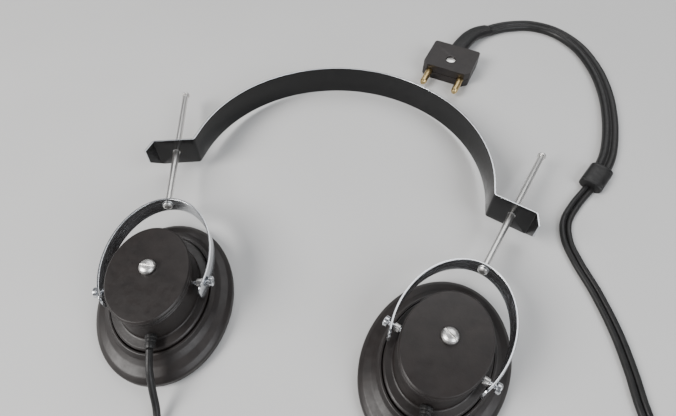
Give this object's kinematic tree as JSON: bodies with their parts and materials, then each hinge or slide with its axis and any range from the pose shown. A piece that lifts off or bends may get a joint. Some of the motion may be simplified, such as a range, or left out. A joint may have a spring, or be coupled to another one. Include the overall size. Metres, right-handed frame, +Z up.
{
  "type": "radio headphones",
  "caption": "Early radio headphones: a strip-steel headband, two sliding rods with sprung yokes, oval magnetic earpieces, leads that join in a twin cable, and a two-pole plug.",
  "frame": {"origin": "middle of the headphones' footprint on the table, without the free cords, at table height", "axes": "+Z up off the table, +Y from the earpieces towards the middle of the headband's arch, +X towards the earpiece nearer the plug and the coil of lead"},
  "size_m": [0.2641, 0.3275, 0.0311],
  "materials": {
    "bakelite": "dark brown-black moulded phenolic, satin",
    "enamel": "gloss black stove enamel, bright edges worn bare",
    "steel": "bright drawn strip",
    "nickel": "satin nickel plate",
    "cord_rubber": "soft satin black",
    "iron": "plain soft iron",
    "magnet_steel": "black oxide",
    "winding": "silk-covered fine wire",
    "brass": "turned, unpolished"
  },
  "bodies": {
    "headband": {"headband": "enamel", "lead_left": "cord_rubber", "lead_right": "cord_rubber", "lead_left_upper": "cord_rubber", "lead_right_upper": "cord_rubber", "lead_coil": "cord_rubber", "splitter": "cord_rubber", "twin_cable": "cord_rubber", "plug_boot": "cord_rubber", "plug_shell_lower": "bakelite", "plug_shell_upper": "bakelite", "plug_pin_left": "brass", "plug_pin_right": "brass", "plug_screw": "nickel"},
    "rod_left": {"rod_left": "nickel", "rod_cap_left": "nickel"},
    "yoke_left": {"yoke_left": "steel"},
    "earpiece_left": {"ear_cap_left": "bakelite", "housing_left": "bakelite", "cover_left": "bakelite", "cover_screw_left": "nickel", "diaphragm_left": "iron", "magnet_left": "magnet_steel", "pole_front_left": "iron", "pole_rear_left": "iron", "coil_front_left": "winding", "coil_rear_left": "winding", "pivot_screw_left_left": "steel", "pivot_screw_right_left": "steel", "collar_left_left": "nickel", "collar_right_left": "nickel", "lead_boot_left": "cord_rubber"},
    "rod_right": {"rod_right": "nickel", "rod_cap_right": "nickel"},
    "yoke_right": {"yoke_right": "steel"},
    "earpiece_right": {"ear_cap_right": "bakelite", "housing_right": "bakelite", "cover_right": "bakelite", "cover_screw_right": "nickel", "diaphragm_right": "iron", "magnet_right": "magnet_steel", "pole_front_right": "iron", "pole_rear_right": "iron", "coil_front_right": "winding", "coil_rear_right": "winding", "pivot_screw_left_right": "steel", "pivot_screw_right_right": "steel", "collar_left_right": "nickel", "collar_right_right": "nickel", "lead_boot_right": "cord_rubber"}
  },
  "joints": [
    {"name": "rod_slide_left", "type": "slide", "parent": "headband", "child": "rod_left", "axis": [0.3338, -0.9403, 0.0658], "range_m": [-0.028, 0.04]},
    {"name": "yoke_swivel_left", "type": "hinge", "parent": "rod_left", "child": "yoke_left", "pos_m": [-0.05863, -0.06245, 0.01913], "axis": [-0.3338, 0.9403, -0.0658], "range_deg": [-90, 90]},
    {"name": "ear_tilt_left", "type": "hinge", "parent": "yoke_left", "child": "earpiece_left", "pos_m": [-0.05863, -0.06245, 0.01913], "axis": [0.9424, 0.3345, 0], "range_deg": [-24, 10], "deforming": ["lead_left"]},
    {"name": "rod_slide_right", "type": "slide", "parent": "headband", "child": "rod_right", "axis": [-0.3338, -0.9403, 0.0658], "range_m": [-0.028, 0.04]},
    {"name": "yoke_swivel_right", "type": "hinge", "parent": "rod_right", "child": "yoke_right", "pos_m": [0.05863, -0.06245, 0.01913], "axis": [0.3338, 0.9403, -0.0658], "range_deg": [-90, 90]},
    {"name": "ear_tilt_right", "type": "hinge", "parent": "yoke_right", "child": "earpiece_right", "pos_m": [0.05863, -0.06245, 0.01913], "axis": [0.9424, -0.3345, 0], "range_deg": [-24, 10], "deforming": ["lead_right"]}
  ]
}
